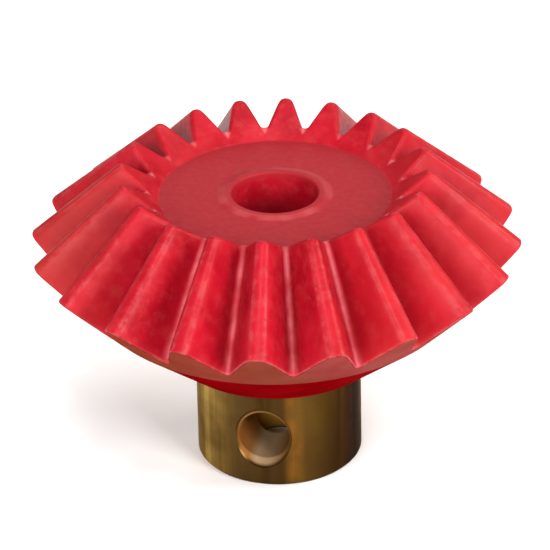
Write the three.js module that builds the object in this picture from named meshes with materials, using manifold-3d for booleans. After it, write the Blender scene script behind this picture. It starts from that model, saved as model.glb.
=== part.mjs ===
// Straight bevel gear for a 90 degree, one-to-one drive: a moulded plastic toothed ring on a
// turned brass hub, with a set screw in the hub's cross hole. Lengths are millimetres, +Z is
// the gear's axis, pointing to the small end of the teeth, and the origin is the centre of the
// hub's end face. The open end of the cross hole faces -Y, and the set screw sits in the +Y end.
import * as THREE from 'three';
import { mergeVertices } from 'three/addons/utils/BufferGeometryUtils.js';
import Module from 'manifold-3d';

// ---- driving dimensions ----
const MODULE = 1.25;                            // at the large end of the teeth
const TEETH = 20;
const PITCH_CONE = Math.PI / 4;                 // both gears of the drive are alike
const PRESSURE_ANGLE = 20 * Math.PI / 180;
const ADDENDUM = 1.0 * MODULE;
const SMALL_END_DEDENDUM = 1.25 * MODULE;
const LARGE_END_DEDENDUM = 1.6 * MODULE;        // the valleys deepen towards the large end
const ROOT_SLOPE = 24 * Math.PI / 180;          // lean of the flanks below the pitch cone
const BACKLASH = 0.04 * MODULE;                 // taken off each tooth's thickness
const FILLET_HEIGHT = 0.3 * MODULE;             // at the foot of each flank
const FILLET_SHARE = 0.3;                       // of the half valley's width
const FACE_WIDTH = 6.65;                        // along the pitch cone
const PITCH_PLANE_Z = 12.2;                     // the pitch circle of the large end
const TOOTH_CLOCKING = 7.1 * Math.PI / 180;     // from -Y to the nearest tooth's middle

const FRONT_FACE_Z = 15.75;                     // flat disc at the small end
const FRONT_HOLE_R = 2.33;
const FRONT_LIP_R = 3.1;
const FRONT_FACE_R = 6.3;
const BEAD_HEIGHT = 0.2;                        // raised round the front hole, up to the lip
const BEAD_SLOPE = 0.3;
const UNDERSIDE_Z = 6.3;                        // flat ring where the hub comes out
const UNDERSIDE_EDGE_R = 5.75;
const BACK_CONE_INNER_R = 10.0;                 // the back cone ends here and the underside starts

const HUB_R = 4.55;
const SHOULDER_INSET = 0.3;                     // the full-width hub reaches this far into the plastic
const HUB_CHAMFER = 0.2;
const BORE_R = 1.5;
const BORE_CHAMFER = 0.25;
const HUB_TOP_Z = 12.4;
const KNURL_R = 4.1;
const KNURL_DEPTH = 0.3;
const KNURL_TEETH = 24;
const BAND_HEIGHT = 1.6;                        // of each of the two knurled bands
const BAND_SLOPE = 0.45;                        // height of the cone at a band's edge
const GROOVE_R = 3.4;                           // between the bands
const GROOVE_HEIGHT = 0.8;
const TOP_CHAMFER = 0.4;
const MOULDING_GAP = 0.1;                       // plastic to brass

const CROSS_HOLE_Z = 3.0;
const CROSS_HOLE_R = 1.42;                      // mean thread radius of M3
const COUNTERSINK_R = 1.85;

const SCREW_R = 1.37;
const SCREW_LENGTH = 2.5;
const SCREW_CHAMFER = 0.25;
const CUP_R = 0.75;
const CUP_DEPTH = 0.3;
const SOCKET_FLATS = 1.5;
const SOCKET_DEPTH = 1.2;

// ---- sampling ----
const ROUND_POINTS = 4 * KNURL_TEETH;           // points on a plain or knurled ring
const FLANK_STEPS = 4;                          // straight pieces along each tooth flank
const SCREW_SEGMENTS = 40;                      // round the cross hole and the set screw

// ---- rings ----
// A ring is a closed list of points in order of angle. The angle starts at -Y and grows
// counter-clockwise seen from +Z, so that +X is a quarter turn on.
function polarPoint(radius, angle, z) {
  return [radius * Math.sin(angle), -radius * Math.cos(angle), z];
}

function plainRing(radius, z) {
  const points = [];
  for (let i = 0; i < ROUND_POINTS; i += 1) {
    const angle = 2 * Math.PI * i / ROUND_POINTS;
    points.push({ angle, at: polarPoint(radius, angle, z) });
  }
  return points;
}

// Straight knurl: a crest, a side, a valley and a side for each knurl tooth.
function knurledRing(radius, z) {
  const depths = [0, KNURL_DEPTH / 2, KNURL_DEPTH, KNURL_DEPTH / 2];
  return plainRing(radius, z).map((point, i) => (
    { angle: point.angle, at: polarPoint(radius - depths[i % 4], point.angle, z) }
  ));
}

// Joins two rings with a band of triangles, always stepping along the ring that is behind.
// With the second ring above the first on an outside wall, the faces point outwards.
function addBand(positions, lower, upper) {
  const angleOf = (ring, i) => ring[i % ring.length].angle + (i >= ring.length ? 2 * Math.PI : 0);
  const place = (ring, i) => ring[i % ring.length].at;
  let i = 0;
  let j = 0;
  while (i < lower.length || j < upper.length) {
    const stepLower = j >= upper.length
      || (i < lower.length && angleOf(lower, i + 1) <= angleOf(upper, j + 1));
    if (stepLower) {
      positions.push(...place(lower, i), ...place(lower, i + 1), ...place(upper, j));
      i += 1;
    } else {
      positions.push(...place(lower, i), ...place(upper, j + 1), ...place(upper, j));
      j += 1;
    }
  }
}

// A closed body from rings that run up the outside, in over the top and back down the hole.
function ringBody(rings) {
  const positions = [];
  rings.forEach((ring, k) => addBand(positions, ring, rings[(k + 1) % rings.length]));
  const geometry = new THREE.BufferGeometry();
  geometry.setAttribute('position', new THREE.Float32BufferAttribute(positions, 3));
  return mergeVertices(geometry, 1e-5);
}

// ---- teeth ----
const PITCH_R = MODULE * TEETH / 2;
const CONE_DISTANCE = PITCH_R / Math.sin(PITCH_CONE);
const APEX_Z = PITCH_PLANE_Z + CONE_DISTANCE * Math.cos(PITCH_CONE);
const SMALL_END = 1 - FACE_WIDTH / CONE_DISTANCE;   // size of the small end over the large end
const TEETH_R = PITCH_R / Math.cos(PITCH_CONE);     // pitch radius of the equivalent spur gear
const BASE_R = TEETH_R * Math.cos(PRESSURE_ANGLE);
const HALF_PITCH_ANGLE = Math.PI / TEETH;

function involute(angle) {
  return Math.tan(angle) - angle;
}

// Half of a tooth's angle about the gear's axis, at a height above the pitch cone measured
// along the back cone. Below the base circle the flank runs straight in.
function halfToothAngle(height) {
  const atPitch = (Math.PI * MODULE / 2 - BACKLASH) / (2 * TEETH_R);
  if (height < 0) {
    return (atPitch - height * Math.tan(ROOT_SLOPE) / TEETH_R) / Math.cos(PITCH_CONE);
  }
  const pressure = Math.acos(BASE_R / (TEETH_R + height));
  return (atPitch + involute(PRESSURE_ANGLE) - involute(pressure)) / Math.cos(PITCH_CONE);
}

// One side of a tooth space from the middle of the valley up to the tip, as pairs of height
// and angle from the tooth's middle. The valley's corner is a short fillet.
function flankOutline(dedendum) {
  const foot = FILLET_HEIGHT - dedendum;
  const footAngle = halfToothAngle(foot);
  const filletAngle = FILLET_SHARE * (HALF_PITCH_ANGLE - footAngle);
  const outline = [
    [-dedendum, footAngle + filletAngle],
    [FILLET_HEIGHT / 3 - dedendum, footAngle + filletAngle / 2],
  ];
  for (let k = 0; k <= FLANK_STEPS; k += 1) {
    const height = foot + (ADDENDUM - foot) * k / FLANK_STEPS;
    outline.push([height, halfToothAngle(height)]);
  }
  return outline;
}

// The whole toothed outline on the back cone, drawn in towards the apex by a scale.
function toothedRing(scale, dedendum) {
  const flank = flankOutline(dedendum);
  const points = [];
  for (let tooth = 0; tooth < TEETH; tooth += 1) {
    const middle = TOOTH_CLOCKING + 2 * HALF_PITCH_ANGLE * tooth;
    const before = flank.map(([height, angle]) => [height, middle - angle]);
    const after = flank.map(([height, angle]) => [height, middle + angle]).reverse();
    for (const [height, angle] of [...before, ...after]) {
      const radius = scale * (PITCH_R + height * Math.cos(PITCH_CONE));
      const z = APEX_Z + scale * (PITCH_PLANE_Z + height * Math.sin(PITCH_CONE) - APEX_Z);
      points.push({ angle, at: polarPoint(radius, angle, z) });
    }
  }
  return points;
}

// ---- the hub's anchored end, shared by the brass and the cavity around it ----
// Two knurled bands with a groove between them, from the bottom up, grown by a clearance.
function anchorRings(clearance) {
  const shoulder = UNDERSIDE_Z + SHOULDER_INSET;
  const lowerBand = shoulder + BAND_SLOPE;
  const groove = lowerBand + BAND_HEIGHT + BAND_SLOPE;
  const upperBand = groove + GROOVE_HEIGHT + BAND_SLOPE;
  return [
    plainRing(HUB_R + clearance, shoulder),
    knurledRing(KNURL_R + clearance, lowerBand),
    knurledRing(KNURL_R + clearance, lowerBand + BAND_HEIGHT),
    plainRing(GROOVE_R + clearance, groove),
    plainRing(GROOVE_R + clearance, groove + GROOVE_HEIGHT),
    knurledRing(KNURL_R + clearance, upperBand),
    knurledRing(KNURL_R + clearance, HUB_TOP_Z - TOP_CHAMFER),
    plainRing(KNURL_R - TOP_CHAMFER + clearance, HUB_TOP_Z + clearance),
  ];
}

// ---- sub-parts ----
function gearRingGeometry() {
  const backConeDrop = PITCH_R - BACK_CONE_INNER_R;
  return ringBody([
    toothedRing(1, LARGE_END_DEDENDUM),
    toothedRing(SMALL_END, SMALL_END_DEDENDUM),
    plainRing(FRONT_FACE_R, FRONT_FACE_Z),
    plainRing(FRONT_LIP_R, FRONT_FACE_Z),
    plainRing(FRONT_LIP_R - BEAD_SLOPE, FRONT_FACE_Z + BEAD_HEIGHT),
    plainRing(FRONT_HOLE_R, FRONT_FACE_Z + BEAD_HEIGHT),
    plainRing(FRONT_HOLE_R, HUB_TOP_Z + MOULDING_GAP),
    ...anchorRings(MOULDING_GAP).reverse(),
    plainRing(HUB_R + MOULDING_GAP, UNDERSIDE_Z),
    plainRing(UNDERSIDE_EDGE_R, UNDERSIDE_Z),
    plainRing(BACK_CONE_INNER_R, PITCH_PLANE_Z - backConeDrop * Math.tan(PITCH_CONE)),
  ]);
}

function hubBlankGeometry() {
  return ringBody([
    plainRing(HUB_R - HUB_CHAMFER, 0),
    plainRing(HUB_R, HUB_CHAMFER),
    ...anchorRings(0),
    plainRing(BORE_R + BORE_CHAMFER, HUB_TOP_Z),
    plainRing(BORE_R, HUB_TOP_Z - BORE_CHAMFER),
    plainRing(BORE_R, BORE_CHAMFER),
    plainRing(BORE_R + BORE_CHAMFER, 0),
  ]);
}

// Turns an outline of radius and Y about the cross hole's axis.
function turnedAboutCrossHole(outline) {
  const points = outline.map(([radius, y]) => new THREE.Vector2(radius, y));
  const turned = new THREE.LatheGeometry(points, SCREW_SEGMENTS);
  turned.translate(0, 0, CROSS_HOLE_Z);
  return turned;
}

// The cross drill runs through both walls along Y, countersunk at both mouths.
function crossDrillGeometry() {
  const reach = HUB_R + 1;
  const coneFoot = HUB_R - (COUNTERSINK_R - CROSS_HOLE_R);
  const coneMouthR = CROSS_HOLE_R + reach - coneFoot;
  const outline = [
    [0, -reach], [coneMouthR, -reach], [CROSS_HOLE_R, -coneFoot],
    [CROSS_HOLE_R, coneFoot], [coneMouthR, reach], [0, reach],
  ];
  return turnedAboutCrossHole(outline);
}

// Turned about Y: cup point at the inner end, chamfers at both ends.
function screwBlankGeometry() {
  const inner = BORE_R;
  const outer = BORE_R + SCREW_LENGTH;
  const outline = [
    [0, inner + CUP_DEPTH], [CUP_R, inner], [SCREW_R - SCREW_CHAMFER, inner],
    [SCREW_R, inner + SCREW_CHAMFER], [SCREW_R, outer - SCREW_CHAMFER],
    [SCREW_R - SCREW_CHAMFER, outer], [0, outer],
  ];
  return turnedAboutCrossHole(outline);
}

// Hexagonal key socket, open at the screw's outer end.
function socketGeometry() {
  const cornerR = SOCKET_FLATS / 2 / Math.cos(Math.PI / 6);
  const hexagon = new THREE.Shape();
  for (let k = 0; k < 6; k += 1) {
    const angle = Math.PI * k / 3;
    const point = [cornerR * Math.cos(angle), cornerR * Math.sin(angle)];
    if (k === 0) hexagon.moveTo(...point);
    else hexagon.lineTo(...point);
  }
  hexagon.closePath();
  const overshoot = 1;
  const depth = SOCKET_DEPTH + overshoot;
  const prism = new THREE.ExtrudeGeometry(hexagon, { depth, bevelEnabled: false });
  prism.rotateX(-Math.PI / 2);
  prism.translate(0, BORE_R + SCREW_LENGTH - SOCKET_DEPTH, CROSS_HOLE_Z);
  return prism;
}

// ---- cutting ----
const wasm = await Module();
wasm.setup();

function toSolid(geometry) {
  const bare = geometry.index ? geometry.clone() : mergeVertices(geometry.clone());
  bare.deleteAttribute('normal');
  bare.deleteAttribute('uv');
  const merged = mergeVertices(bare, 1e-5);
  return new wasm.Manifold(new wasm.Mesh({
    numProp: 3,
    vertProperties: Float32Array.from(merged.attributes.position.array),
    triVerts: Uint32Array.from(merged.index.array),
  }));
}

function subtract(geometry, tool) {
  const mesh = toSolid(geometry).subtract(toSolid(tool)).getMesh();
  const result = new THREE.BufferGeometry();
  result.setAttribute('position', new THREE.Float32BufferAttribute(mesh.vertProperties, 3));
  result.setIndex(Array.from(mesh.triVerts));
  return result;
}

// ---- materials and assembly ----
function namedMesh(name, geometry, color, roughness, metalness) {
  const material = new THREE.MeshStandardMaterial({ color, roughness, metalness });
  geometry.computeVertexNormals();
  const mesh = new THREE.Mesh(geometry, material);
  mesh.name = name;
  return mesh;
}

const gear = new THREE.Group();
gear.name = 'bevel_gear';
gear.add(namedMesh('gear_ring', gearRingGeometry(), 0xc8202c, 0.45, 0));
gear.add(namedMesh('brass_hub', subtract(hubBlankGeometry(), crossDrillGeometry()), 0x9a7536, 0.35, 1));
gear.add(namedMesh('set_screw', subtract(screwBlankGeometry(), socketGeometry()), 0x2b2a2a, 0.4, 1));

export default gear;
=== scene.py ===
"""Straight bevel gear: moulded red plastic teeth on a turned brass hub with a cross hole.

The shapes are worked out in millimetres in the CAD model's own frame, +Z up the gear's axis,
and turned into Blender's metres when a mesh is made.
"""

import math

import bpy
import numpy as np
from mathutils import Matrix, Vector


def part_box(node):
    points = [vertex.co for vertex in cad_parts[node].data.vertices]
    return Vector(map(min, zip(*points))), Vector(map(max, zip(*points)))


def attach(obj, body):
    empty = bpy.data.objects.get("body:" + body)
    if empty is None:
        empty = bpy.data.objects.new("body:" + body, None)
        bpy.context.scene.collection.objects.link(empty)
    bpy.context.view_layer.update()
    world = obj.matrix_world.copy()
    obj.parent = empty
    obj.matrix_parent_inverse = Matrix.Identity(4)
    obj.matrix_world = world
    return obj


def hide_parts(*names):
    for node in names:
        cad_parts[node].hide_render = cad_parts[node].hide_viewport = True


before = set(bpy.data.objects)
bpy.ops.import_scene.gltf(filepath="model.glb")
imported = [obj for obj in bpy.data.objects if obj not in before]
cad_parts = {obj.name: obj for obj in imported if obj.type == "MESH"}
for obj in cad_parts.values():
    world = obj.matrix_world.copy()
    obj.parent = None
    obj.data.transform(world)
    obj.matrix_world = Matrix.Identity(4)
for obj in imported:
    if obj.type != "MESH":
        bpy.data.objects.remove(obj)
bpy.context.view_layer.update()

MM = 0.001
MICRON = 0.001 * MM
TAU = 2 * math.pi

# ---- driving dimensions, as in the CAD model, in millimetres ----
MODULE = 1.25
TEETH = 20
PITCH_CONE = math.radians(45)
PRESSURE_ANGLE = math.radians(20)
ADDENDUM = 1.0 * MODULE
DEDENDUM = 1.25 * MODULE
BACKLASH = 0.04 * MODULE
FACE_WIDTH = 6.65
PITCH_PLANE_Z = 12.2
TOOTH_CLOCKING = math.radians(7.1)

FRONT_FACE_Z = 15.75
FRONT_FACE_R = 6.3
BEAD_HEIGHT = 0.12
FRONT_HOLE_R = 2.33
FRONT_LIP_R = 3.0
UNDERSIDE_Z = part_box("gear_ring")[0].z / MM
UNDERSIDE_EDGE_R = 5.75
BACK_CONE_INNER_R = 10.0

HUB_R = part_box("brass_hub")[1].x / MM
HUB_TOP_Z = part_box("brass_hub")[1].z / MM
HUB_EDGE = 0.2
BORE_R = 1.5
BORE_EDGE = 0.25
SHOULDER_INSET = 0.3
KNURL_R = 4.1
KNURL_DEPTH = 0.3
KNURL_TEETH = 24
BAND_HEIGHT = 1.6
BAND_SLOPE = 0.45
GROOVE_R = 3.4
GROOVE_HEIGHT = 0.8
TOP_CHAMFER = 0.4
MOULDING_GAP = 0.1

CROSS_HOLE_Z = 3.0
CROSS_HOLE_R = 1.42
COUNTERSINK_R = 1.85

SCREW_R = 1.37
SCREW_LENGTH = 2.5
SCREW_PITCH = 0.5
SCREW_THREAD_DEPTH = 0.24
CUP_R = 0.75
CUP_DEPTH = 0.3
SOCKET_FLATS = 1.5
SOCKET_DEPTH = 1.2

# ---- worked-out gear geometry ----
PITCH_R = MODULE * TEETH / 2
CONE_DISTANCE = PITCH_R / math.sin(PITCH_CONE)
APEX_Z = PITCH_PLANE_Z + CONE_DISTANCE * math.cos(PITCH_CONE)
SPUR_R = PITCH_R / math.cos(PITCH_CONE)
BASE_R = SPUR_R * math.cos(PRESSURE_ANGLE)
PITCH = math.pi * MODULE

# ---- the moulding's softer shapes, in millimetres ----
ROOT_SLOPE = math.radians(24)   # lean of the flanks below the pitch cone
HEEL_DEDENDUM = 1.6 * MODULE    # the valleys deepen from the small end to the large end
VALLEY_BLUNTING = 0.13          # how far a valley's rounding spreads along the tooth's outline
HEEL_CREST_BLUNTING = 0.22      # the same for a crest, at the large end
TOE_CREST_BLUNTING = 0.30       # and at the small end
HEEL_EDGE = 0.14                # radius where the teeth meet the back cone
TOE_EDGE = 0.24                 # radius where they meet the front faces
TOE_LEAN = 0.2                  # how much further the valleys reach than the crests
TOE_LEAN_LENGTH = 1.5           # the stretch of a valley over which that builds up
DISH_RIM_WIDTH = 0.3            # the rim between the teeth and the front disc
DISH_RIM_RISE = 0.26
DISH_EDGE = 0.3
DISC_MARGIN = 1.1               # from the rim to the first of the disc's plain rings
BEAD_MARGIN = 0.8               # from the last of them to the bead's lip
BEAD_RUN_IN = 0.5
BEAD_FOOT = 0.15                # the bead's foot lies outside its lip, and its crest inside
BEAD_FOOT_EDGE = 0.8
BEAD_CREST = 0.3
BEAD_CREST_EDGE = 0.6
HOLE_FLARE = 0.02               # how much wider the front hole is at its mouth
HOLE_FLARE_DEPTH = 0.5
HOLE_MOUTH_EDGE = 0.13
HOLE_WALL_EDGE = 1.0
UNDERSIDE_LIP = 0.15
UNDERSIDE_INNER_EDGE = 0.08
UNDERSIDE_OUTER_EDGE = 0.25
BACK_CONE_EDGE = 0.35
BACK_CONE_RUN_IN = 0.25

# ---- where the plastic is worn or pale, carries painted highlights or takes its painted-shade copy, in millimetres ----
VALLEY_LINE = 0.34              # half the width of the painted highlight line in a valley
VALLEY_LINE_SHARE = 0.75        # its strength away from the small end
WORN_AND_LIT_EDGE_RADIUS = 0.25         # an edge this sharp is fully worn and fully painted with highlight
# a painted highlight along the rounded rim where the teeth meet the back cone
HEEL_RIM_PAINTED_HIGHLIGHT = 0.8
BEAD_LINE_R = FRONT_LIP_R - 0.1
BEAD_LINE = 0.3                 # half the width of the pale broken line on the bead
HOLE_RIM = 0.01                 # the disc's look stops this far outside the hole's wall
DARK_BELOW_Z = 10.0             # outside the hub, what is below this height is the underside
BACK_CONE_TOLERANCE = 0.03

# ---- the hub's and the screw's small edges, in millimetres ----
HUB_FOOT_WIDTH = 0.3
HUB_FOOT_EDGE = 0.05
HUB_SIDE_EDGE = 0.12
HUB_WALL_START = 0.45
BORE_MARGIN_TOP = 1
BORE_MARGIN_FOOT = 0.2
DRILL_OVERSHOOT = 1
COUNTERSINK_EDGE = 0.12
CAP_R = 0.02
CUP_MIDDLE_R = 0.3
CUP_MIDDLE_SHARE = 0.8
CUP_RIM = 0.03                  # half the width of the cup's rounded rim
CUP_RIM_DROP = 0.02
POINT_CHAMFER = 0.12
POINT_CHAMFER_DROP = 0.03
THREAD_START = 0.12
THREAD_END = 0.1
THREAD_RUN_IN = 0.45
THREAD_RUN_OUT = 0.4
THREAD_GAIN = 1.25              # steeper flanks than a triangle wave, with flats top and bottom
THREAD_LIFT = 0.1
SOCKET_EDGE = 0.05
SOCKET_CONE = 0.15
HEAD_EDGES = ((0.03, 0.02), (0.08, 0.0))    # inset from the thread's root and from the end

# ---- fineness ----
POINTS_PER_TOOTH = 44
OUTLINE_STEPS = 20 * POINTS_PER_TOOTH
FLANK_STEPS = 40
FLANK_RINGS = 14
EDGE_RINGS = 6
DISC_RINGS = 5
HUB_SEGMENTS = 288
HUB_WALL_RINGS = 40
BORE_RINGS = 70
CROSS_SEGMENTS = 96             # round the screw, and round the cross hole
THREAD_RINGS = 60
ROUNDING_STEPS = 5
COARSE_ROUNDING_STEPS = 3
LONGEST_ROUNDING = 0.45         # the share of a side that a rounding may take
SHORTEST_ROUNDING = 1e-6
MOULDING_SHARP_DEGREES = 50     # edges turning by more than this stay sharp
HUB_SHARP_DEGREES = 30
SCREW_SHARP_DEGREES = 40


# ---------------------------------------------------------------- meshes
def ring_faces(count, rings, closed):
    """Quads between neighbouring rings. A closed body's last ring joins its first."""
    faces = []
    for k in range(rings if closed else rings - 1):
        a = k * count
        b = (k + 1) % rings * count
        for i in range(count):
            j = (i + 1) % count
            faces.append((a + i, a + j, b + j, b + i))
    return faces


def add_cap(verts, faces, ring, first, flip):
    """Closes a ring, whose points start at the index first, with triangles to its middle."""
    middle = len(verts)
    verts.append(tuple(ring.mean(axis=0) * MM))
    for i in range(len(ring)):
        corners = (first + i, first + (i + 1) % len(ring), middle)
        faces.append(corners[::-1] if flip else corners)


def mesh_from_rings(name, rings, closed=True, marks=None):
    """A mesh from rings of equally many points, each an array of x, y, z in millimetres.

    A closed body's last ring joins its first; an open one is capped at both ends.
    marks holds values for each ring's points, kept as attributes that the materials read.
    """
    count = len(rings[0])
    verts = [tuple(p * MM) for ring in rings for p in ring]
    faces = ring_faces(count, len(rings), closed)
    if not closed:
        add_cap(verts, faces, rings[0], 0, True)
        add_cap(verts, faces, rings[-1], (len(rings) - 1) * count, False)
    mesh = bpy.data.meshes.new(name)
    mesh.from_pydata(verts, [], faces)
    for mark, values in (marks or {}).items():
        attribute = mesh.attributes.new(mark, "FLOAT", "POINT")
        attribute.data.foreach_set("value", np.concatenate(values).astype(np.float32))
    mesh.update()
    piece = bpy.data.objects.new(name, mesh)
    bpy.context.scene.collection.objects.link(piece)
    return piece


def shade(piece, angle_degrees):
    """Smooth shading with sharp edges where the faces turn by more than the angle."""
    for polygon in piece.data.polygons:
        polygon.use_smooth = True
    piece.data.set_sharp_from_angle(angle=math.radians(angle_degrees))


def polar(radius, angle, z):
    """Points at angles counted from -Y towards +X, as in the CAD model."""
    radius, angle, z = np.broadcast_arrays(radius, angle, z)
    return np.stack([radius * np.sin(angle), -radius * np.cos(angle), z], axis=-1)


def rounded_corner(before, here, after, radius, steps):
    """Points round a corner, or the corner itself where its radius is too small to draw."""
    to_before = before - here
    to_after = after - here
    before_length = np.linalg.norm(to_before)
    after_length = np.linalg.norm(to_after)
    to_before /= before_length
    to_after /= after_length
    half = math.acos(np.clip(to_before @ to_after, -1, 1)) / 2
    longest = LONGEST_ROUNDING * min(before_length, after_length)
    reach = min(radius / math.tan(half), longest)
    if reach < SHORTEST_ROUNDING:
        return [here]
    start = here + to_before * reach
    end = here + to_after * reach
    places = [k / steps for k in range(steps + 1)]
    return [(1 - t) ** 2 * start + 2 * t * (1 - t) * here + t * t * end for t in places]


def rounded_outline(corners, steps=ROUNDING_STEPS):
    """Rounds the corners of an outline. A corner is (r, z, radius); the ends stay as they are."""
    places = [np.array(corner[:2], float) for corner in corners]
    points = [places[0]]
    for k in range(1, len(corners) - 1):
        points += rounded_corner(places[k - 1], places[k], places[k + 1], corners[k][2], steps)
    return points + [places[-1]]


# ---------------------------------------------------------------- teeth
def involute(angle):
    return math.tan(angle) - angle


def half_thickness(height):
    """Half of a tooth's thickness at a height above the pitch cone, at the large end."""
    at_pitch = (PITCH / 2 - BACKLASH) / (2 * SPUR_R)
    if height < 0:
        return at_pitch * SPUR_R - height * math.tan(ROOT_SLOPE)
    here = math.acos(BASE_R / (SPUR_R + height))
    return (at_pitch + involute(PRESSURE_ANGLE) - involute(here)) * SPUR_R


def sharp_tooth(dedendum):
    """One tooth's outline as (along, height), from one valley's middle to the next."""
    flank = [(-half_thickness(h), h) for h in np.linspace(-dedendum, ADDENDUM, FLANK_STEPS)]
    left = [(-PITCH / 2, -dedendum)] + flank
    right = [(-x, h) for x, h in reversed(left)]
    return np.array(left + right)


def even_steps(outline, count):
    """The outline at evenly spaced lengths, its far end left out, and its whole length."""
    steps = np.linalg.norm(np.diff(outline, axis=0), axis=1)
    lengths = np.concatenate([[0], np.cumsum(steps)])
    at = np.linspace(0, lengths[-1], count, endpoint=False)
    even = [np.interp(at, lengths, outline[:, k]) for k in (0, 1)]
    return np.stack(even, axis=-1), lengths[-1]


def blurred(points, spread):
    """A closed run of points, blurred by a spread counted in points."""
    count = len(points)
    offsets = (np.arange(count) + count // 2) % count - count // 2
    kernel = np.exp(-0.5 * (offsets / spread) ** 2)
    blur = np.fft.fft(kernel / kernel.sum())[:, None]
    return np.real(np.fft.ifft(np.fft.fft(points, axis=0) * blur, axis=0))


def blunt_tooth(dedendum, crest_blunting):
    """The outline with its corners rounded: points, outward normals and how convex each is."""
    fine = OUTLINE_STEPS
    points, length = even_steps(sharp_tooth(dedendum), fine)
    trend = np.stack([np.linspace(0, PITCH, fine, endpoint=False), np.zeros(fine)], axis=-1)
    valley = blurred(points - trend, VALLEY_BLUNTING * fine / length)
    crest = blurred(points - trend, crest_blunting * fine / length)
    high = np.clip(points[:, 1:] / ADDENDUM, 0, 1)
    smooth = valley * (1 - high) + crest * high + trend
    ahead = np.roll(smooth, -1, axis=0)
    behind = np.roll(smooth, 1, axis=0)
    ahead[-1, 0] += PITCH
    behind[0, 0] -= PITCH
    tangent = ahead - behind
    tangent /= np.linalg.norm(tangent, axis=1, keepdims=True)
    normal = np.stack([-tangent[:, 1], tangent[:, 0]], axis=-1)
    heading = np.unwrap(np.arctan2(tangent[:, 1], tangent[:, 0]))
    convex = -np.gradient(heading) * fine / length
    pick = np.arange(0, fine, fine // POINTS_PER_TOOTH)
    return smooth[pick], normal[pick], convex[pick]


def around(values):
    """One tooth's values repeated for every tooth."""
    return np.tile(values, TEETH)


def tooth_angles(along):
    """Angles about the gear's axis for every tooth's points."""
    middles = TOOTH_CLOCKING + np.arange(TEETH) * TAU / TEETH
    return (middles[:, None] + along[None, :] / PITCH_R).ravel()


def toothed_ring(slant, inset):
    """The toothed outline at a distance along the pitch cone from the large end, and its marks.

    The inset shrinks the outline, to round off the ends of the teeth.
    """
    scale = 1 - slant / CONE_DISTANCE
    share = slant / FACE_WIDTH
    dedendum = HEEL_DEDENDUM + (DEDENDUM - HEEL_DEDENDUM) * share
    blunting = HEEL_CREST_BLUNTING + (TOE_CREST_BLUNTING - HEEL_CREST_BLUNTING) * share
    shape, normal, convex = blunt_tooth(dedendum, blunting)
    shape = shape - normal * inset / scale
    low = np.clip((ADDENDUM - shape[:, 1]) / (ADDENDUM + dedendum), 0, 1)
    near_toe = np.clip(1 - (FACE_WIDTH - slant) / TOE_LEAN_LENGTH, 0, 1) ** 2
    scale = 1 - (slant + TOE_LEAN * near_toe * around(low)) / CONE_DISTANCE
    height = around(shape[:, 1])
    radius = scale * (PITCH_R + height * math.cos(PITCH_CONE))
    z = APEX_Z + scale * (PITCH_PLANE_Z + height * math.sin(PITCH_CONE) - APEX_Z)
    edge = np.clip(around(convex) * WORN_AND_LIT_EDGE_RADIUS, 0, 1)
    from_valley = PITCH / 2 - np.abs(around(shape[:, 0]))
    strength = VALLEY_LINE_SHARE + (1 - VALLEY_LINE_SHARE) * near_toe
    valley = np.clip(1 - from_valley / VALLEY_LINE, 0, 1) * strength
    return polar(radius, tooth_angles(shape[:, 0]), z), edge, valley


def toothed_stations():
    """Slant and inset of each ring, from the back cone to the front faces."""
    rounding = [(1 - math.cos(t), 1 - math.sin(t)) for t in np.linspace(0, math.pi / 2, EDGE_RINGS)]
    heel = [(HEEL_EDGE * across, HEEL_EDGE * inset) for across, inset in rounding]
    toe = [(FACE_WIDTH - TOE_EDGE * across, TOE_EDGE * inset) for across, inset in rounding]
    middle = np.linspace(HEEL_EDGE, FACE_WIDTH - TOE_EDGE, FLANK_RINGS + 2)[1:-1]
    return heel + [(slant, 0.0) for slant in middle] + toe[::-1]


def knurl(angles):
    """A triangle wave round the hub, from 0 on the crests to 1 in the valleys."""
    turn = (angles / TAU * KNURL_TEETH) % 1
    return 1 - np.abs(2 * turn - 1)


def anchor_outline(clearance):
    """The knurled, grooved end of the hub inside the plastic, as (r, z, knurled)."""
    shoulder = UNDERSIDE_Z + SHOULDER_INSET
    lower = shoulder + BAND_SLOPE
    groove = lower + BAND_HEIGHT + BAND_SLOPE
    upper = groove + GROOVE_HEIGHT + BAND_SLOPE
    return [
        (HUB_R + clearance, shoulder, False),
        (KNURL_R + clearance, lower, True),
        (KNURL_R + clearance, lower + BAND_HEIGHT, True),
        (GROOVE_R + clearance, groove, False),
        (GROOVE_R + clearance, groove + GROOVE_HEIGHT, False),
        (KNURL_R + clearance, upper, True),
        (KNURL_R + clearance, HUB_TOP_Z - TOP_CHAMFER, True),
        (KNURL_R - TOP_CHAMFER + clearance, HUB_TOP_Z + clearance, False),
    ]


def anchor_rings(clearance, angles):
    rings = []
    for r, z, knurled in anchor_outline(clearance):
        depth = KNURL_DEPTH * knurl(angles) if knurled else 0.0
        rings.append(polar(r - depth, angles, z))
    return rings


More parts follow.
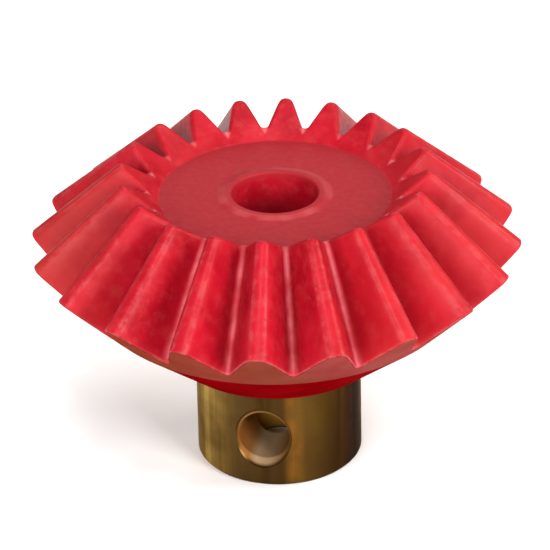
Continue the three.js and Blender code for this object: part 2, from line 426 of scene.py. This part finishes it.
def front_outline():
    """The dished front face and the bead round its hole, as (r, z), from the teeth inwards."""
    top = FRONT_FACE_Z + BEAD_HEIGHT
    edge = rounded_outline([
        (FRONT_FACE_R + DISH_RIM_WIDTH, FRONT_FACE_Z + DISH_RIM_RISE, 0),
        (FRONT_FACE_R, FRONT_FACE_Z, DISH_EDGE),
        (FRONT_FACE_R - 2 * DISH_RIM_WIDTH, FRONT_FACE_Z, 0),
    ])
    disc = np.linspace(FRONT_FACE_R - DISC_MARGIN, FRONT_LIP_R + BEAD_MARGIN, DISC_RINGS)
    bead = rounded_outline([
        (FRONT_LIP_R + BEAD_RUN_IN, FRONT_FACE_Z, 0),
        (FRONT_LIP_R + BEAD_FOOT, FRONT_FACE_Z, BEAD_FOOT_EDGE),
        (FRONT_LIP_R - BEAD_CREST, top, BEAD_CREST_EDGE),
        (FRONT_HOLE_R + HOLE_FLARE, top, HOLE_MOUTH_EDGE),
        (FRONT_HOLE_R, top - HOLE_FLARE_DEPTH, HOLE_WALL_EDGE),
        (FRONT_HOLE_R, HUB_TOP_Z + MOULDING_GAP, 0),
    ])
    return edge + [(r, FRONT_FACE_Z) for r in disc] + bead


def under_outline():
    """The underside and the back cone, as (r, z), from the hub outwards."""
    back_z = PITCH_PLANE_Z - (PITCH_R - BACK_CONE_INNER_R)
    return rounded_outline([
        (HUB_R + MOULDING_GAP, UNDERSIDE_Z + UNDERSIDE_LIP, 0),
        (HUB_R + MOULDING_GAP, UNDERSIDE_Z, UNDERSIDE_INNER_EDGE),
        (UNDERSIDE_EDGE_R, UNDERSIDE_Z, UNDERSIDE_OUTER_EDGE),
        (BACK_CONE_INNER_R, back_z, BACK_CONE_EDGE),
        (BACK_CONE_INNER_R + BACK_CONE_RUN_IN, back_z + BACK_CONE_RUN_IN, 0),
    ])


def make_gear_ring():
    rings = []
    marks = {"edge": [], "valley": [], "heel": [], "face": [], "bead": []}

    def add(ring, **values):
        rings.append(ring)
        for mark in marks:
            marks[mark].append(np.broadcast_to(values.get(mark, 0.0), len(ring)))

    for slant, inset in toothed_stations():
        ring, on_edge, in_valley = toothed_ring(slant, inset)
        rounded_off = inset / HEEL_EDGE if slant < HEEL_EDGE else 0.0
        # painted highlight along the heel's rounded rim
        rim = HEEL_RIM_PAINTED_HIGHLIGHT * math.sin(math.pi * rounded_off)
        at_heel = max(0.0, 2 * rounded_off - 1)
        add(ring, edge=np.maximum(on_edge, rim), valley=in_valley * (1 - rounded_off), heel=at_heel)
    along = np.linspace(-PITCH / 2, PITCH / 2, POINTS_PER_TOOTH, endpoint=False)
    angles = tooth_angles(along)
    for r, z in front_outline():
        on_face = float(FRONT_HOLE_R + HOLE_RIM < r < FRONT_FACE_R)
        on_bead = max(0.0, 1 - abs(r - BEAD_LINE_R) / BEAD_LINE)
        add(polar(r, angles, z), face=on_face, bead=on_bead)
    for ring in reversed(anchor_rings(MOULDING_GAP, angles)):
        add(ring)
    for r, z in under_outline():
        add(polar(r, angles, z), heel=float(r >= BACK_CONE_INNER_R))
    piece = mesh_from_rings("gear_body", rings, marks=marks)
    shade(piece, MOULDING_SHARP_DEGREES)
    return piece


def faces_down(radius, z):
    """Whether a place in millimetres is on the moulding's underside or its back cone, which take
    the plastic's darker copy as painted shade.
    """
    underneath = radius > HUB_R and z < DARK_BELOW_Z
    past_back_cone = radius - z > PITCH_R - PITCH_PLANE_Z - BACK_CONE_TOLERANCE
    return underneath or (radius > BACK_CONE_INNER_R and past_back_cone)


def give_second_material(piece, material, belongs):
    """Adds a material and gives it the faces whose middle, in millimetres, passes the test."""
    piece.data.materials.append(material)
    for polygon in piece.data.polygons:
        x, y, z = polygon.center / MM
        if belongs(math.hypot(x, y), z):
            polygon.material_index = 1


# ---------------------------------------------------------------- hub
def hub_outside():
    """The hub's foot and its plain wall, as (r, z), from the bore outwards and up."""
    foot = rounded_outline([
        (BORE_R + BORE_EDGE + HUB_FOOT_WIDTH, 0, 0),
        (HUB_R - HUB_EDGE, 0, HUB_FOOT_EDGE),
        (HUB_R, HUB_EDGE, HUB_SIDE_EDGE),
        (HUB_R, UNDERSIDE_Z, 0),
    ], COARSE_ROUNDING_STEPS)
    wall = np.linspace(HUB_WALL_START, UNDERSIDE_Z, HUB_WALL_RINGS)
    return foot[:-1] + [(HUB_R, z) for z in wall]


def hub_inside():
    """The bore and its chamfers, as (r, z), from the top down."""
    wall = np.linspace(HUB_TOP_Z - BORE_MARGIN_TOP, BORE_EDGE + BORE_MARGIN_FOOT, BORE_RINGS)
    top = [(BORE_R + BORE_EDGE, HUB_TOP_Z), (BORE_R, HUB_TOP_Z - BORE_EDGE)]
    foot = [(BORE_R, BORE_EDGE), (BORE_R + BORE_EDGE, 0)]
    return top + [(BORE_R, z) for z in wall] + foot


def make_hub():
    angles = np.arange(HUB_SEGMENTS) * TAU / HUB_SEGMENTS
    rings = [polar(r, angles, z) for r, z in hub_outside()]
    rings += anchor_rings(0, angles)
    rings += [polar(r, angles, z) for r, z in hub_inside()]
    hub = mesh_from_rings("turned_hub", rings)
    drill = make_cross_drill()
    cut = hub.modifiers.new("cross hole", "BOOLEAN")
    cut.object = drill
    cut.operation = "DIFFERENCE"
    cut.solver = "EXACT"
    apply_modifiers(hub)
    bpy.data.objects.remove(drill)
    shade(hub, HUB_SHARP_DEGREES)
    return hub


def ring_round_cross_hole(radius, y):
    """A ring about the cross hole's axis. The radius and y may differ from point to point."""
    angles = np.arange(CROSS_SEGMENTS) * TAU / CROSS_SEGMENTS
    radius, y, angles = np.broadcast_arrays(radius, y, angles)
    x = radius * np.sin(angles)
    z = CROSS_HOLE_Z + radius * np.cos(angles)
    return np.stack([x, y, z], axis=-1)


def make_cross_drill():
    """What the drill and the countersink take away, along Y through both of the hub's walls."""
    reach = HUB_R + DRILL_OVERSHOOT
    cone_foot = HUB_R - (COUNTERSINK_R - CROSS_HOLE_R)
    mouth = CROSS_HOLE_R + reach - cone_foot
    outline = rounded_outline([
        (mouth, -reach, 0),
        (CROSS_HOLE_R, -cone_foot, COUNTERSINK_EDGE),
        (CROSS_HOLE_R, cone_foot, COUNTERSINK_EDGE),
        (mouth, reach, 0),
    ], COARSE_ROUNDING_STEPS)
    rings = [ring_round_cross_hole(r, y) for r, y in outline]
    return mesh_from_rings("cross_drill", rings, closed=False)


def apply_modifiers(piece):
    graph = bpy.context.evaluated_depsgraph_get()
    result = bpy.data.meshes.new_from_object(piece.evaluated_get(graph))
    old = piece.data
    piece.modifiers.clear()
    piece.data = result
    bpy.data.meshes.remove(old)


# ---------------------------------------------------------------- set screw
def hexagon_radius(angle):
    """Distance to the socket's wall in a direction, for a socket with a corner at angle 0."""
    from_flat = angle % (math.pi / 3) - math.pi / 6
    return SOCKET_FLATS / 2 / np.cos(from_flat)


def cup_point(tip, root):
    """The screw's cup point, as (r, y), from its middle outwards."""
    return [
        (CAP_R, tip + CUP_DEPTH),
        (CUP_MIDDLE_R, tip + CUP_DEPTH * CUP_MIDDLE_SHARE),
        (CUP_R - CUP_RIM, tip + CUP_RIM_DROP),
        (CUP_R + CUP_RIM, tip),
        (root - POINT_CHAMFER, tip + POINT_CHAMFER_DROP),
    ]


def thread(tip, head, root, angles):
    """The ridged wall, as (r, y), where r winds round the screw and fades at both ends."""
    wall = []
    for y in np.linspace(tip + THREAD_START, head - THREAD_END, THREAD_RINGS):
        turn = ((y - angles / TAU * SCREW_PITCH) / SCREW_PITCH) % 1
        triangle = 1 - np.abs(2 * turn - 1)
        ridge = np.clip(THREAD_GAIN * triangle - THREAD_LIFT, 0, 1)
        ends = min((y - tip) / THREAD_RUN_IN, (head - y) / THREAD_RUN_OUT, 1.0)
        wall.append((root + (SCREW_R - root) * ridge * ends, y))
    return wall


def make_set_screw():
    angles = np.arange(CROSS_SEGMENTS) * TAU / CROSS_SEGMENTS
    tip = BORE_R
    head = BORE_R + SCREW_LENGTH
    root = SCREW_R - SCREW_THREAD_DEPTH
    socket = hexagon_radius(angles)
    outline = cup_point(tip, root) + thread(tip, head, root, angles)
    outline += [(root - inset, head - drop) for inset, drop in HEAD_EDGES]
    outline += [
        (socket + SOCKET_EDGE, head),
        (socket, head - SOCKET_EDGE),
        (socket, head - SOCKET_DEPTH),
        (CAP_R, head - SOCKET_DEPTH - SOCKET_CONE),
    ]
    rings = [ring_round_cross_hole(r, y) for r, y in outline]
    screw = mesh_from_rings("grub_screw", rings, closed=False)
    shade(screw, SCREW_SHARP_DEGREES)
    return screw


# ---------------------------------------------------------------- looks
# colours are linear red, green and blue; ramps are (place, colour) from 0 to 1
UPPER_PLASTIC = {
    "deep": (0.235, 0.0010, 0.0065),
    "bright": (0.325, 0.0044, 0.0130),
    "mottled": (0.34, 0.022, 0.027),
    "specular": 0.13,
}
# the plastic's darker copy without sheen, for the underside and back cone: painted shade
SHADED_UNDERSIDE_PLASTIC = {
    "deep": (0.11, 0.0004, 0.0012),
    "bright": (0.15, 0.0007, 0.0020),
    "mottled": (0.13, 0.0006, 0.0016),
    "specular": 0.0,
}
SIDE_SHEEN_PAINT = (     # painted sheen: from and to in x, in millimetres, the least and most sheen, colour
    ((-6, -11), (0, 0.5), (0.32, 0.020, 0.012)),
    ((4, 9), (0.2, 0.7), (0.35, 0.012, 0.014)),
)
# the disc's colour: painted shade, darker than the teeth, with a little painted sheen in green and
# blue
DISC_SHADE_AND_SHEEN_RED = (0.235, 0.0085, 0.0130)
PALE_BEAD_RED = (0.36, 0.060, 0.060)
# pale edges: partly wear, partly painted highlight
WORN_AND_LIT_EDGE_RED = (0.29, 0.055, 0.060)
# painted highlights along the valleys' floors
VALLEY_PAINTED_HIGHLIGHT_RED = (0.50, 0.105, 0.12)
# painted reflection on the back cone, from -X to +X, with darker patches
HEEL_REFLECTION_REACH = 9
HEEL_REFLECTION_RAMP = (
    (0.0, (0.20, 0.032, 0.018)),
    (0.3, (0.16, 0.032, 0.017)),
    (0.6, (0.16, 0.030, 0.022)),
    (1.0, (0.21, 0.042, 0.042)),
)
DARK_HEEL_REFLECTION = (0.12, 0.030, 0.012)
PLASTIC_ROUGHNESS = (0.36, 0.5)
DISC_EXTRA_ROUGHNESS = 0.16
DISC_LINES_PER_METRE = 2600
DISC_LINE_WOBBLE = 9
DISC_LINE_RELIEF = 1.5 * MICRON
MOULDING_RELIEF = 60 * MICRON
PLASTIC_GRAIN_RELIEF = 8 * MICRON
PLASTIC_GLOW = 0.06
PLASTIC_GLOW_SPREAD = (1.0, 0.12, 0.08)
PLASTIC_GLOW_DEPTH = 0.6 * MM

BRASS_PAINTED_REFLECTIONS = (     # painted reflections: the wall's colour round the hub, from -Y through +X
    (0.00, (0.035, 0.017, 0.003)),
    (0.040, (0.045, 0.022, 0.004)),
    (0.058, (0.14, 0.070, 0.009)),
    (0.085, (0.09, 0.048, 0.008)),
    (0.15, (0.030, 0.014, 0.002)),
    (0.21, (0.020, 0.010, 0.002)),
    (0.25, (0.06, 0.036, 0.009)),
    (0.45, (0.22, 0.13, 0.030)),
    (0.60, (0.10, 0.055, 0.010)),
    (0.72, (0.55, 0.40, 0.145)),
    (0.86, (0.52, 0.36, 0.120)),
    (0.905, (0.28, 0.170, 0.044)),
    (0.945, (0.080, 0.045, 0.012)),
    (1.00, (0.035, 0.017, 0.003)),
)
STREAK_BROWN = (0.07, 0.036, 0.010)
PATCH_BROWN = (0.045, 0.022, 0.007)
# painted amber highlight on the hub's wall beside the cross hole
AMBER_PAINTED_HIGHLIGHT = (0.19, 0.075, 0.010)
AMBER_HIGHLIGHT_TURN = 0.062                  # the middle of the painted amber highlight, and its fading, in turns
AMBER_HIGHLIGHT_REACH = (0.004, 0.022)
# painted shadow on the hub's wall just under the plastic
TOP_PAINTED_SHADOW = (0.02, 0.008, 0.002)
TOP_PAINTED_SHADOW_DEPTH = (0.9, 0.2)        # from and to, in millimetres below the plastic
WALL_DEPTH = (0.2, 0.05)            # the hole's look is full at the first depth, gone at the second
CROSS_HOLE_REACH = 1.4
CROSS_HOLE_PAINTED_SIDES = (                # painted light and shade on the hole's wall, from -X to +X
    (0.0, (0.20, 0.062, 0.010)),
    (0.2, (0.20, 0.085, 0.022)),
    (0.34, (0.27, 0.18, 0.098)),
    (0.62, (0.22, 0.14, 0.072)),
    (0.85, (0.13, 0.060, 0.016)),
    (1.0, (0.08, 0.034, 0.009)),
)
CROSS_HOLE_PAINTED_AMBER_Z = (2.6, 3.6)     # painted amber light: from none to full, up the hole's wall
CROSS_HOLE_PAINTED_AMBER = (0.20, 0.09, 0.02)
BORE_LOOK = (0.01, 0.03)            # the bore's colour fades out over this, outside its wall
BORE_BRASS = (0.40, 0.21, 0.03)
BRASS_METALLIC = (0.9, 0.3)         # on the wall and inside the holes
BRASS_ROUGHNESS = (0.26, 0.42)
HOLE_EXTRA_ROUGHNESS = 0.35
BRASS_TINT = (0.30, 0.24, 0.17, 1)
LATHE_RELIEF = 4 * MICRON
BRASS_PATCH_RELIEF = 10 * MICRON

STEEL_DARK = (0.035, 0.035, 0.04)
STEEL_PALE = (0.09, 0.085, 0.08)
STEEL_ROUGHNESS = (0.3, 0.5)
STEEL_RELIEF = 6 * MICRON

FLOOR_DARK = (0.90, 0.90, 0.90)
FLOOR_PALE = (0.92, 0.92, 0.92)
FLOOR_ROUGHNESS = 0.9
FLOOR_SPECULAR = 0.1

BUMP_STRENGTH = 0.5


class Nodes:
    """Short helpers to build one material's node tree."""

    def __init__(self, name):
        self.material = bpy.data.materials.new(name)
        self.material.use_nodes = True
        self.tree = self.material.node_tree
        self.shader = self.tree.nodes["Principled BSDF"]
        self.coordinates = self.tree.nodes.new("ShaderNodeTexCoord").outputs["Object"]

    def node(self, kind, **values):
        node = self.tree.nodes.new(kind)
        for key, value in values.items():
            setattr(node, key, value)
        return node

    def link(self, source, target):
        self.tree.links.new(source, target)

    def stretched(self, x, y, z):
        """The coordinates scaled, so that noise on them is longest where the scale is least."""
        mapping = self.node("ShaderNodeMapping")
        mapping.inputs["Scale"].default_value = (x, y, z)
        self.link(self.coordinates, mapping.inputs["Vector"])
        return mapping.outputs["Vector"]

    def noise(self, scale, detail=3.0, roughness=0.5, vector=None):
        noise = self.node("ShaderNodeTexNoise")
        noise.inputs["Scale"].default_value = scale
        noise.inputs["Detail"].default_value = detail
        noise.inputs["Roughness"].default_value = roughness
        self.link(self.coordinates if vector is None else vector, noise.inputs["Vector"])
        return noise.outputs["Fac"]

    def remap(self, value, source, target=(0, 1)):
        """The value carried from one range to another and held at its ends."""
        node = self.node("ShaderNodeMapRange")
        sockets = ("From Min", "From Max", "To Min", "To Max")
        for socket, number in zip(sockets, (*source, *target)):
            node.inputs[socket].default_value = number
        self.link(value, node.inputs["Value"])
        return node.outputs["Result"]

    def mix(self, factor, a, b):
        node = self.node("ShaderNodeMix", data_type="RGBA")
        self.link(factor, node.inputs["Factor"])
        for value, socket in ((a, node.inputs["A"]), (b, node.inputs["B"])):
            if isinstance(value, tuple):
                socket.default_value = (*value, 1)
            else:
                self.link(value, socket)
        return node.outputs["Result"]

    def math(self, operation, a, b=0):
        node = self.node("ShaderNodeMath", operation=operation)
        for value, socket in ((a, node.inputs[0]), (b, node.inputs[1])):
            if isinstance(value, (int, float)):
                socket.default_value = value
            else:
                self.link(value, socket)
        return node.outputs["Value"]

    def times(self, a, b):
        return self.math("MULTIPLY", a, b)

    def mark(self, name):
        """A value kept on the mesh's points."""
        return self.node("ShaderNodeAttribute", attribute_name=name).outputs["Fac"]

    def ramp(self, value, stops):
        node = self.node("ShaderNodeValToRGB")
        elements = node.color_ramp.elements
        while len(elements) < len(stops):
            elements.new(0.5)
        for element, (place, colour) in zip(elements, stops):
            element.position = place
            element.color = (*colour, 1)
        self.link(value, node.inputs["Fac"])
        return node.outputs["Color"]

    def along(self, axis):
        """The place along X, Y or Z, in metres."""
        node = self.node("ShaderNodeSeparateXYZ")
        self.link(self.coordinates, node.inputs["Vector"])
        return node.outputs[axis]

    def distance_from_axis(self):
        x = self.along("X")
        y = self.along("Y")
        return self.math("SQRT", self.math("ADD", self.times(x, x), self.times(y, y)))

    def turn_about_axis(self):
        """From 0 at -Y through +X and back round to 1."""
        angle = self.math("ARCTAN2", self.along("X"), self.times(self.along("Y"), -1))
        return self.math("FRACT", self.math("DIVIDE", angle, TAU))

    def turning_marks(self, per_metre):
        """Rings about the axis, broken up along the way."""
        wobble = self.times(self.noise(500, detail=2), DISC_LINE_WOBBLE)
        phase = self.times(self.distance_from_axis(), per_metre * TAU)
        return self.math("SINE", self.math("ADD", phase, wobble))

    def bump(self, height, distance, normal=None):
        node = self.node("ShaderNodeBump")
        node.inputs["Distance"].default_value = distance
        node.inputs["Strength"].default_value = BUMP_STRENGTH
        self.link(height, node.inputs["Height"])
        if normal is not None:
            self.link(normal, node.inputs["Normal"])
        return node.outputs["Normal"]


# ---------------------------------------------------------------- red plastic
def paint_side_sheen(n, colour):
    """Painted sheen: paler, warmer patches towards the gear's left and right."""
    x = n.along("X")
    drift = n.noise(190)
    # painted sheen towards each side
    for (start, end), strength, tint in SIDE_SHEEN_PAINT:
        side = n.remap(x, (start * MM, end * MM))
        colour = n.mix(n.times(side, n.remap(drift, (0.4, 0.6), strength)), colour, tint)
    return colour


def disc_painted_shade(n, colour, clouds):
    """The front disc painted darker, as painted shade with a little painted sheen, and a pale
    broken line along the bead round its hole.
    """
    # painted shade and a little painted sheen over the disc
    dull = n.times(n.mark("face"), n.remap(clouds, (0.3, 0.7), (0.7, 1)))
    colour = n.mix(dull, colour, DISC_SHADE_AND_SHEEN_RED)
    pale_line = n.times(n.mark("bead"), n.remap(n.noise(500), (0.42, 0.6), (0, 0.9)))
    return n.mix(pale_line, colour, PALE_BEAD_RED)


def teeth_wear_and_painted_highlights(n, colour, chips):
    """Pale edges, partly wear and partly painted highlight, and painted highlights in beads along
    the valleys.
    """
    # pale edges: partly wear, partly painted highlight
    worn_and_lit = n.times(n.remap(n.mark("edge"), (0.3, 0.85)), n.remap(chips, (0.45, 0.6), (0.12, 1)))
    colour = n.mix(worn_and_lit, colour, WORN_AND_LIT_EDGE_RED)
    # painted highlights in beads along the valleys, strongest at the small end
    beads = n.remap(n.noise(900, detail=2), (0.38, 0.62), (0.3, 1))
    valley_highlight = n.times(n.remap(n.mark("valley"), (0.05, 0.75), (0, 0.75)), beads)
    return n.mix(valley_highlight, colour, VALLEY_PAINTED_HIGHLIGHT_RED)


def heel_painted_reflection(n, colour, clouds):
    """Painted reflection on the back cone: brownish, redder at -X and pinker at +X, with darker
    random patches.
    """
    across = n.remap(n.along("X"), (-HEEL_REFLECTION_REACH * MM, HEEL_REFLECTION_REACH * MM))
    patches = n.remap(n.noise(260, detail=2), (0.45, 0.65), (0, 0.6))
    # painted reflection on the back cone
    heel_reflection = n.mix(patches, n.ramp(across, HEEL_REFLECTION_RAMP), DARK_HEEL_REFLECTION)
    on_heel = n.times(n.remap(n.mark("heel"), (0.2, 0.9)), n.remap(clouds, (0.3, 0.6), (0.6, 1)))
    return n.mix(on_heel, colour, heel_reflection)


def plastic_relief(n, clouds, grain):
    """Faint turned lines on the disc, the moulding's slow waves and a fine grain."""
    lines = n.times(n.turning_marks(DISC_LINES_PER_METRE), n.mark("face"))
    relief = n.bump(lines, DISC_LINE_RELIEF)
    relief = n.bump(clouds, MOULDING_RELIEF, relief)
    return n.bump(grain, PLASTIC_GRAIN_RELIEF, relief)


def red_plastic(name, deep, bright, mottled, specular):
    """Moulded plastic that drifts between two reds, with painted sheen towards its sides, the disc
    painted darker, pale edges of wear and painted highlight, painted highlights in the valleys and
    painted reflection on the back cone.
    """
    n = Nodes(name)
    clouds = n.noise(420, detail=4, roughness=0.6)
    grain = n.noise(2600)
    chips = n.noise(1500, detail=4, roughness=0.65)
    colour = n.mix(n.remap(clouds, (0.35, 0.65)), deep, bright)
    colour = n.mix(n.remap(chips, (0.48, 0.66), (0, 0.4)), colour, mottled)
    colour = paint_side_sheen(n, colour)
    colour = disc_painted_shade(n, colour, clouds)
    colour = teeth_wear_and_painted_highlights(n, colour, chips)
    colour = heel_painted_reflection(n, colour, clouds)
    n.link(colour, n.shader.inputs["Base Color"])
    on_disc = n.times(n.mark("face"), DISC_EXTRA_ROUGHNESS)
    roughness = n.math("ADD", n.remap(grain, (0.3, 0.7), PLASTIC_ROUGHNESS), on_disc)
    n.link(roughness, n.shader.inputs["Roughness"])
    n.link(plastic_relief(n, clouds, grain), n.shader.inputs["Normal"])
    n.shader.inputs["Specular IOR Level"].default_value = specular
    n.shader.inputs["Subsurface Weight"].default_value = PLASTIC_GLOW
    n.shader.inputs["Subsurface Radius"].default_value = PLASTIC_GLOW_SPREAD
    n.shader.inputs["Subsurface Scale"].default_value = PLASTIC_GLOW_DEPTH
    return n.material


# ---------------------------------------------------------------- metals and floor
def hub_wall_painted_light(n, patches):
    """The hub's wall: painted reflections round it, streaks and patches, a painted amber highlight
    by the cross hole, and painted shadow under the plastic.
    """
    streaks = n.noise(1.0, detail=4, roughness=0.6, vector=n.stretched(1300, 1300, 60))
    # painted reflections round the hub's wall
    colour = n.ramp(n.turn_about_axis(), BRASS_PAINTED_REFLECTIONS)
    colour = n.mix(n.remap(streaks, (0.4, 0.62), (0, 0.6)), colour, STREAK_BROWN)
    colour = n.mix(n.remap(patches, (0.42, 0.7), (0, 0.6)), colour, PATCH_BROWN)
    # a painted amber highlight beside the cross hole
    beside = n.math("ABSOLUTE", n.math("SUBTRACT", n.turn_about_axis(), AMBER_HIGHLIGHT_TURN))
    blotches = n.remap(n.noise(850), (0.4, 0.6), (0.2, 0.8))
    amber = n.times(n.remap(beside, AMBER_HIGHLIGHT_REACH, (1, 0)), blotches)
    colour = n.mix(amber, colour, AMBER_PAINTED_HIGHLIGHT)
    # painted shadow just under the plastic
    top = [(UNDERSIDE_Z - depth) * MM for depth in TOP_PAINTED_SHADOW_DEPTH]
    return n.mix(n.remap(n.along("Z"), top, (0, 0.6)), colour, TOP_PAINTED_SHADOW)


def cross_hole_painted_light(n):
    """Painted light and shade in the cross hole: amber at its top; below it orange, grey and brown
    from -X to +X.
    """
    # painted light and shade in the cross hole
    across = n.remap(n.along("X"), (-CROSS_HOLE_REACH * MM, CROSS_HOLE_REACH * MM))
    heights = [z * MM for z in CROSS_HOLE_PAINTED_AMBER_Z]
    lower = n.remap(n.along("Z"), heights, (1, 0))
    return n.mix(lower, CROSS_HOLE_PAINTED_AMBER, n.ramp(across, CROSS_HOLE_PAINTED_SIDES))


def turned_brass():
    n = Nodes("turned brass")
    patches = n.noise(420, detail=4)
    lathe = n.noise(1.0, detail=4, roughness=0.6, vector=n.stretched(40, 40, 9000))
    wall = [(HUB_R - depth) * MM for depth in WALL_DEPTH]
    inside = n.remap(n.distance_from_axis(), wall, (1, 0))
    colour = n.mix(inside, hub_wall_painted_light(n, patches), cross_hole_painted_light(n))
    bore = [(BORE_R + outside) * MM for outside in BORE_LOOK]
    in_bore = n.remap(n.distance_from_axis(), bore, (1, 0))
    n.link(n.mix(in_bore, colour, BORE_BRASS), n.shader.inputs["Base Color"])
    n.link(n.remap(inside, (0, 1), BRASS_METALLIC), n.shader.inputs["Metallic"])
    dull_inside = n.times(inside, HOLE_EXTRA_ROUGHNESS)
    roughness = n.math("ADD", n.remap(patches, (0.3, 0.7), BRASS_ROUGHNESS), dull_inside)
    n.link(roughness, n.shader.inputs["Roughness"])
    n.shader.inputs["Specular Tint"].default_value = BRASS_TINT
    relief = n.bump(patches, BRASS_PATCH_RELIEF, n.bump(lathe, LATHE_RELIEF))
    n.link(relief, n.shader.inputs["Normal"])
    return n.material


def black_steel():
    n = Nodes("black oxide steel")
    grain = n.noise(2600, detail=4)
    n.link(n.mix(grain, STEEL_DARK, STEEL_PALE), n.shader.inputs["Base Color"])
    n.shader.inputs["Metallic"].default_value = 1.0
    n.link(n.remap(grain, (0.3, 0.7), STEEL_ROUGHNESS), n.shader.inputs["Roughness"])
    n.link(n.bump(grain, STEEL_RELIEF), n.shader.inputs["Normal"])
    return n.material


def floor_paint():
    n = Nodes("pale floor")
    n.link(n.mix(n.noise(30), FLOOR_DARK, FLOOR_PALE), n.shader.inputs["Base Color"])
    n.shader.inputs["Roughness"].default_value = FLOOR_ROUGHNESS
    n.shader.inputs["Specular IOR Level"].default_value = FLOOR_SPECULAR
    return n.material


# ---------------------------------------------------------------- studio
# angles in degrees, azimuth 0 at -Y and growing towards +X; lengths in millimetres
CAMERA_AZIMUTH = 12.04
CAMERA_ELEVATION = 28.6
CAMERA_ROLL = 1.18
CAMERA_DISTANCE = 170.1 * MODULE
CAMERA_FOCAL = 255.8
CAMERA_SENSOR = 36
CAMERA_SHIFT = (-0.0021, -0.0425)
CAMERA_CLIP = (10, 10000)

FLOOR_HALF_WIDTH = 600
LIGHTS_AIM_Z = 10
WORLD_STRENGTH = 0.09
WHITE = (1, 1, 1)
WARM = (1.0, 0.90, 0.80)
SOFTBOXES = (       # name, azimuth, elevation, distance, width and height, watts, colour
    ("front", 2, 20, 300, (130, 100), 0.5, WHITE),
    ("front right", 54, 22, 300, (130, 110), 0.9, WHITE),
    ("front left", -26, 22, 300, (130, 110), 0.55, WHITE),
    ("front high", 12, 62, 300, (60, 60), 0.4, WHITE),
    ("left", -95, 25, 300, (180, 140), 0.16, WARM),
    ("right", 108, 30, 300, (180, 140), 0.6, WARM),
    ("back", 192, 28, 320, (240, 110), 0.2, WHITE),
    ("overhead", 150, 68, 320, (160, 160), 0.4, WHITE),
)


def direction(azimuth, elevation):
    """A unit vector away from the object."""
    azimuth = math.radians(azimuth)
    elevation = math.radians(elevation)
    flat = math.cos(elevation)
    return Vector((math.sin(azimuth) * flat, -math.cos(azimuth) * flat, math.sin(elevation)))


def add_camera():
    data = bpy.data.cameras.new("camera")
    data.lens = CAMERA_FOCAL
    data.sensor_width = CAMERA_SENSOR
    data.shift_x, data.shift_y = CAMERA_SHIFT
    data.clip_start, data.clip_end = [clip * MM for clip in CAMERA_CLIP]
    camera = bpy.data.objects.new("camera", data)
    bpy.context.scene.collection.objects.link(camera)
    away = direction(CAMERA_AZIMUTH, CAMERA_ELEVATION)
    camera.location = Vector((0, 0, PITCH_PLANE_Z)) * MM + away * CAMERA_DISTANCE * MM
    look = away.to_track_quat("Z", "Y").to_matrix().to_4x4()
    roll = Matrix.Rotation(math.radians(-CAMERA_ROLL), 4, "Z")
    camera.matrix_world = Matrix.Translation(camera.location) @ look @ roll
    bpy.context.scene.camera = camera


def add_softbox(name, azimuth, elevation, distance, size, power, colour):
    data = bpy.data.lights.new(name, "AREA")
    data.shape = "RECTANGLE"
    data.size, data.size_y = [side * MM for side in size]
    data.energy = power
    data.color = colour
    light = bpy.data.objects.new(name, data)
    bpy.context.scene.collection.objects.link(light)
    away = direction(azimuth, elevation)
    light.location = Vector((0, 0, LIGHTS_AIM_Z * MM)) + away * distance * MM
    light.rotation_euler = away.to_track_quat("Z", "Y").to_euler()


def add_floor():
    mesh = bpy.data.meshes.new("floor")
    half = FLOOR_HALF_WIDTH * MM
    corners = [(-half, -half, 0), (half, -half, 0), (half, half, 0), (-half, half, 0)]
    mesh.from_pydata(corners, [], [(0, 1, 2, 3)])
    floor = bpy.data.objects.new("floor", mesh)
    bpy.context.scene.collection.objects.link(floor)
    floor.data.materials.append(floor_paint())


def add_studio():
    world = bpy.data.worlds.new("studio")
    bpy.context.scene.world = world
    world.use_nodes = True
    background = world.node_tree.nodes["Background"]
    background.inputs["Color"].default_value = (*WHITE, 1)
    background.inputs["Strength"].default_value = WORLD_STRENGTH
    for softbox in SOFTBOXES:
        add_softbox(*softbox)
    add_floor()


# ---------------------------------------------------------------- assembly
def place(piece, material, body, node, slot):
    piece.data.materials.clear()
    piece.data.materials.append(material)
    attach(piece, body)
    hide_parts(node)


add_camera()
add_studio()
gear = make_gear_ring()
upper = red_plastic("moulded red plastic", **UPPER_PLASTIC)
# the underside and back cone take the darker copy of the plastic: painted shade
lower = red_plastic("red plastic underneath with painted shade", **SHADED_UNDERSIDE_PLASTIC)
place(gear, upper, "gear", "gear_ring", "red_plastic")
give_second_material(gear, lower, faces_down)
place(make_hub(), turned_brass(), "gear", "brass_hub", "brass")
place(make_set_screw(), black_steel(), "screw", "set_screw", "screw_steel")

bpy.context.scene.view_settings.view_transform = "Standard"
